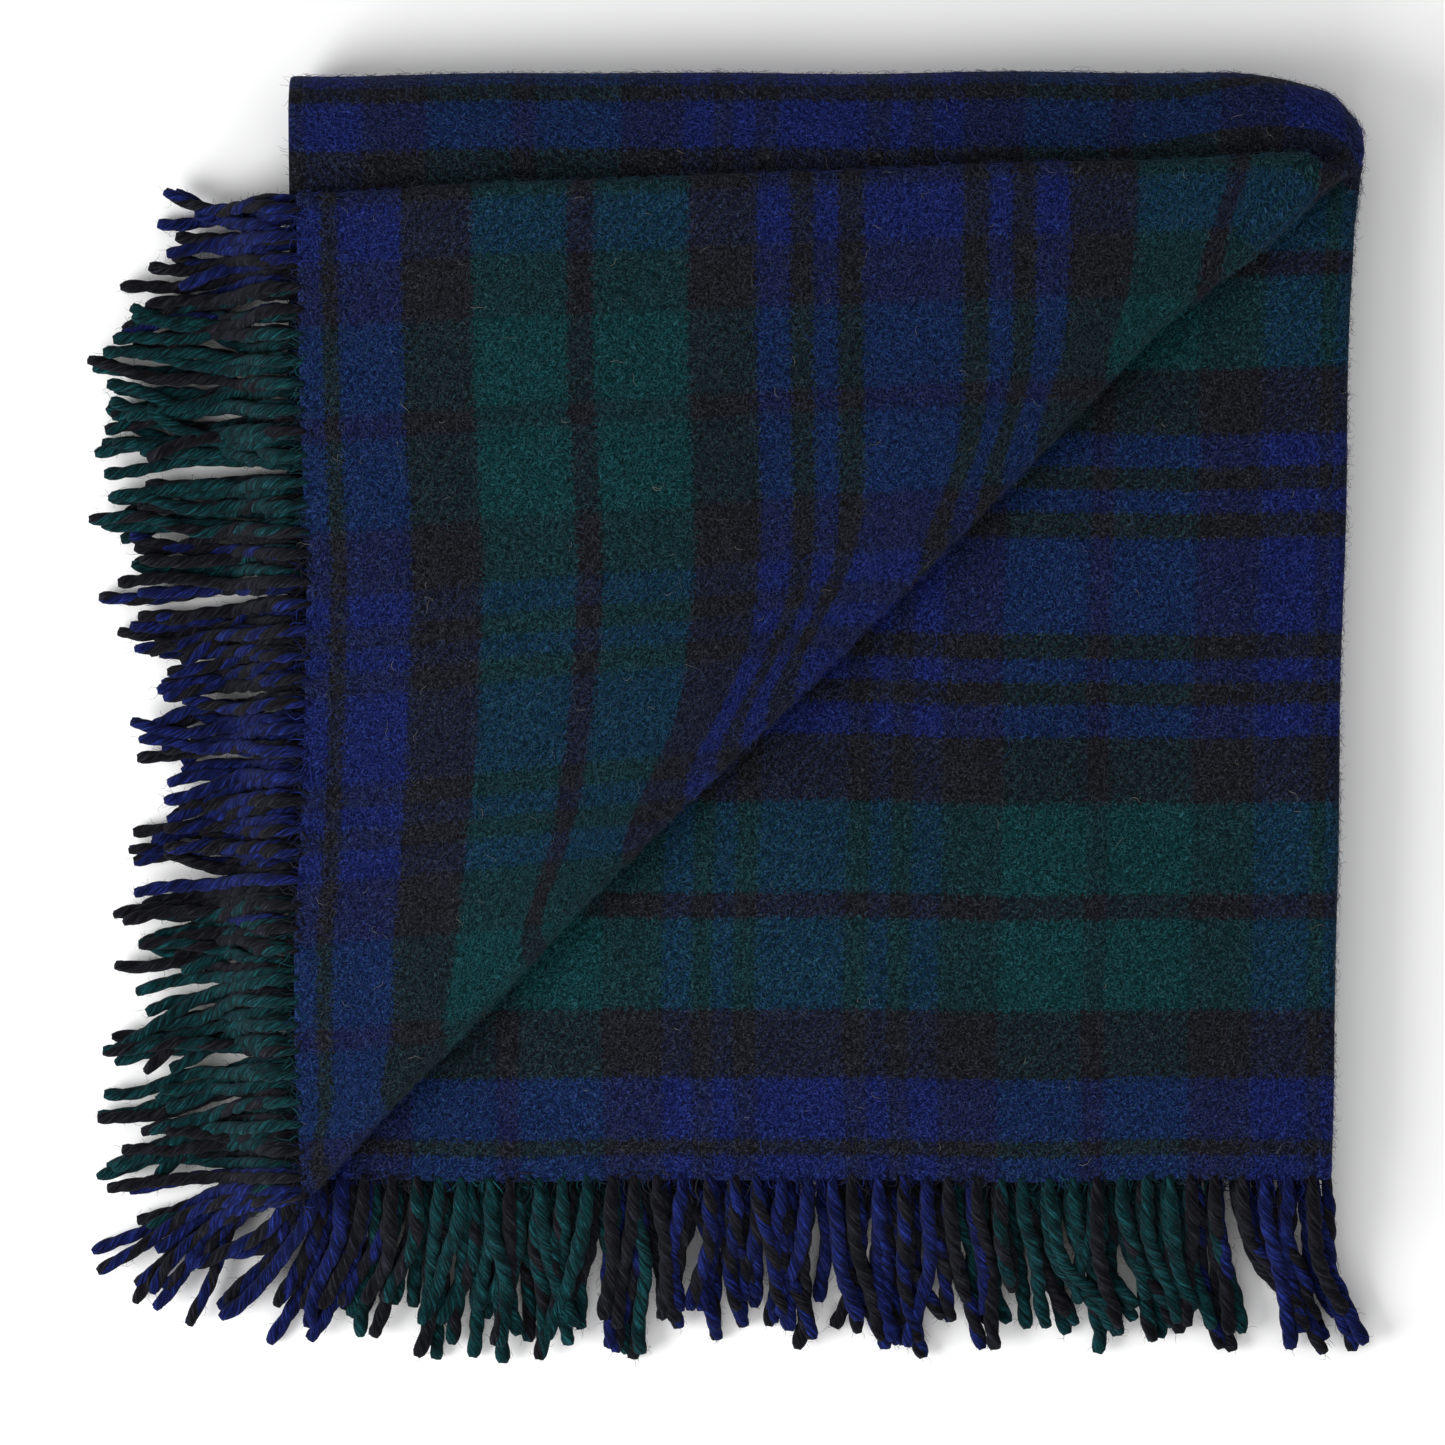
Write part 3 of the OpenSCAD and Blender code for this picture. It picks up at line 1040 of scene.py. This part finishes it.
def strand_path(base, outward, z_rest, length, turned):
    """Centre line of one strand: out of the cloth, drooping, then lying in loose waves."""
    sideways = Vector((-outward.y, outward.x, 0))
    heading = rng.normal(0, HEADING_SPREAD)
    bend = rng.uniform(-BEND, BEND)
    phase = rng.uniform(0, 2 * math.pi)
    wave = rng.uniform(*WAVE)
    wavelength = rng.uniform(*WAVELENGTH)
    drop_length = rng.uniform(*DROP_LENGTH)
    fall = max(base.z - z_rest, 0)
    here = base - outward * STRAND_ROOT
    points = [here]
    done = -STRAND_ROOT
    while done < length:
        done += STRAND_STEP
        share = max(done, 0) / length
        t = min(max((done - DROP_START) / drop_length, 0), 1)
        slope = min(fall / drop_length * 6 * t * (1 - t), STEEPEST)
        level = math.sqrt(1 - slope * slope)
        loose = min(1, share * 3)
        turn = turned * min(1, share * 1.6) + heading * loose + bend * share
        turn += wave * loose * math.sin(2 * math.pi * done / wavelength + phase)
        way = outward * math.cos(turn) + sideways * math.sin(turn)
        z = max(here.z - slope * STRAND_STEP, min(z_rest, here.z))
        here = Vector((here.x + way.x * level * STRAND_STEP, here.y + way.y * level * STRAND_STEP, z))
        points.append(here)
    return np.array(points)


def add_strand(heap, path, single_r, u):
    """Two singles twisted round each other along a path, with loose hairs."""
    tangent = unit(np.gradient(path, axis=0))
    side = unit(np.cross(tangent, UPWARDS))
    up = np.cross(side, tangent)
    distance = np.arange(len(path)) * STRAND_STEP
    start = rng.uniform(0, 2 * math.pi)
    grow = ROOT_SHARE + (1 - ROOT_SHARE) * smoothstep(distance / ROOT_GROWTH)
    for single in range(2):
        twist = start + STRAND_TWIST * distance + math.pi * single
        away = side * np.cos(twist)[:, None] + up * np.sin(twist)[:, None]
        centre = path + away * (SINGLE_OFFSET * grow)[:, None]
        fat = single_r * grow * (1 + SLUB * np.sin(distance * SLUB_RATE + 3 * start + single))
        fat[-2:] *= TIP_SHARES
        rings, faces = tube_mesh(centre[None], fat, TUBE_SIDES, UPWARDS)
        ring_angles = 2 * math.pi * np.arange(TUBE_SIDES) / TUBE_SIDES
        spun = ring_angles[None] + FIBRE_TWIST * distance[:, None] + start
        along = np.repeat(distance[:, None], TUBE_SIDES, axis=1) + 3 * start
        lies = np.stack([single_r * np.cos(spun), single_r * np.sin(spun) + single, along], -1)
        place = (u + (single - 0.5) * SINGLE_SPACING, 0)
        points = rings.reshape(-1, 3)
        heap.add(points, faces, np.tile(place, (len(points), 1)), lies.reshape(-1, 3))
        at_ring = rng.integers(FIRST_HAIR_RING, len(centre), HAIRS_A_SINGLE)
        at_corner = rng.integers(0, TUBE_SIDES, HAIRS_A_SINGLE)
        starts = rings[0, at_ring, at_corner]
        out = unit(starts - centre[at_ring])
        lines = hair_lines(starts, tangent[at_ring], out, *HAIR, math.pi)
        add_hairs(heap, lines, FIBRE_R, np.tile(place, (len(lines), 1)))


def add_fray(heap, half, ply):
    """Threads that come out of the top of the cloth's edge and droop into the strands."""
    across = rng.uniform(MARGIN, WIDTHS[ply] - ply_runs(ply)[2] - MARGIN, FRAY_COUNT)
    along = rng.uniform(*FRAY_STARTS, FRAY_COUNT)
    here = cloth_point(half, ply, across, along)
    outward = unit(cloth_point(half, ply, across, along - PROBE) - here)
    away = np.tile(np.array(UPWARDS, float), (FRAY_COUNT, 1))
    starts = here + away * (CLOTH_T / 2 - FRAY_R)
    lines = hair_lines(starts, outward, away, *FRAY, FRAY_SPREAD)
    lines[..., 2] -= np.linspace(0, 1, FIBRE_STEPS) ** 2 * FRAY_DROOP
    u, v = pattern_place(half, ply, across, along)
    add_hairs(heap, lines, FRAY_R, np.stack([u, v], -1))


def fringe_row(side, row, material):
    """The strands at the end of one ply. Row 1 is the top one."""
    ply = row - 1
    half = "outer" if side == "corner" else "inner"
    leans = CORNER_LEANS if side == "corner" else LOWER_LEANS
    lengths = CORNER_LENGTHS if side == "corner" else LOWER_LENGTHS
    level = PLIES - row
    stagger = STAGGER * (row - (PLIES + 1) / 2)
    heap = Heap()
    for i in range(STRANDS):
        straying = rng.uniform(-STRAYING, STRAYING)
        across = WIDTHS[ply] * (i + 0.5 + stagger + straying) / STRANDS
        at = np.array([across]), np.array([0.0])
        base = Vector(cloth_point(half, ply, *at)[0])
        z_rest = FLOOR_Z + REST_Z + level * REST_STEP + rng.uniform(0, REST_SPREAD)
        place = base.y if side == "corner" else base.x
        sway = SWAY * sum(math.sin(rate * place + phase) for rate, phase in SWAY_WAVES)
        turned = read_table(leans, place) + sway + rng.normal(0, LEAN_SPREAD)
        spread = min(max(rng.normal(0, 1), -LENGTH_LIMIT), LENGTH_LIMIT) * LENGTH_SPREAD[side]
        length = read_table(lengths, place) + spread
        path = strand_path(base, STRAIGHT_OUT[side], z_rest, length, turned)
        add_strand(heap, path, SINGLE_R[side], pattern_place(half, ply, *at)[0][0])
    add_fray(heap, half, ply)
    return heap.piece(f"{side}_fringe_row_{row}", material)


# ---------------------------------------------------------------- stage, lights and camera

FLOOR_REACH = 4
WORLD_LIGHT = 0.64
# Name, place, size and power of each lamp, which faces the origin
LAMPS = (
    ("key", (-1.08, -0.42, 0.76), 0.8, 19.5),
    ("low", (-0.1, -1.45, 0.66), 0.9, 9),
)
CAMERA_HEIGHT = 2.4
CAMERA_AIM_Z = 0.02
# Width of the camera's view at the height that it aims at
VIEW_W = 0.477


def lay_floor():
    mesh = bpy.data.meshes.new("floor")
    corners = [(x * FLOOR_REACH, y * FLOOR_REACH, 0) for x, y in ((-1, -1), (1, -1), (1, 1), (-1, 1))]
    mesh.from_pydata(corners, [], [(0, 1, 2, 3)])
    floor = bpy.data.objects.new("floor", mesh)
    floor.location.z = FLOOR_Z - 0.0002
    paint = Shader("pale_floor")
    paint.bsdf.inputs["Base Color"].default_value = (0.92, 0.92, 0.92, 1)
    paint.bsdf.inputs["Roughness"].default_value = 0.9
    paint.bsdf.inputs["Specular IOR Level"].default_value = 0.1
    mesh.materials.append(paint.material)
    scene.collection.objects.link(floor)


def studio_light():
    world = bpy.data.worlds.new("studio")
    scene.world = world
    world.use_nodes = True
    background = world.node_tree.nodes["Background"]
    background.inputs["Color"].default_value = (1, 1, 1, 1)
    background.inputs["Strength"].default_value = WORLD_LIGHT
    for name, place, size, power in LAMPS:
        light = bpy.data.lights.new(name, "AREA")
        light.size = size
        light.energy = power
        lamp = bpy.data.objects.new(name, light)
        lamp.location = place
        lamp.rotation_euler = (-Vector(place)).to_track_quat("-Z", "Y").to_euler()
        scene.collection.objects.link(lamp)


def camera():
    data = bpy.data.cameras.new("camera")
    data.sensor_width = 36
    data.lens = data.sensor_width * (CAMERA_HEIGHT - CAMERA_AIM_Z) / VIEW_W
    data.clip_start = 0.05
    data.clip_end = 50
    cam = bpy.data.objects.new("camera", data)
    cam.location = (0, 0, CAMERA_HEIGHT)
    scene.collection.objects.link(cam)
    scene.camera = cam


# ---------------------------------------------------------------- build

lay_floor()
studio_light()
camera()
scene.view_settings.view_transform = "Standard"

tartan = tartan_material()
fibre = fibre_material()
yarn = yarn_material()
fringes = {
    (side, row): fringe_row(side, row, yarn)
    for side in ("corner", "lower")
    for row in range(1, PLIES + 1)
}


def turn_with_corner(piece):
    """Bakes a piece's placement into its mesh."""
    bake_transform(piece)


roll_fibres = roll_nap(fibre)
turn_with_corner(roll_fibres)
for nap, body in ((corner_nap(fibre), "corner"), (lower_nap(fibre), "stack"), (top_nap(fibre), "stack")):
    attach(nap, body)

for half in ("outer", "inner"):
    side = "corner" if half == "outer" else "lower"
    for ply in range(PLIES):
        piece = cloth_piece(half, ply, tartan)
        fringe = fringes[side, ply + 1]
        if half == "outer":
            turn_with_corner(piece)
            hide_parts("layer_1", "layer_4", "top_fold_outer", "turned_corner", "corner_roll",
                        "bottom_fold")
            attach(fringe, "corner")
            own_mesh(fringe)
        else:
            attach(piece, "stack")
            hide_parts("layer_2", "layer_3", "top_fold_inner")
            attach(fringe, "stack")
        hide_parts(f"{side}_fringe_{ply + 1}")
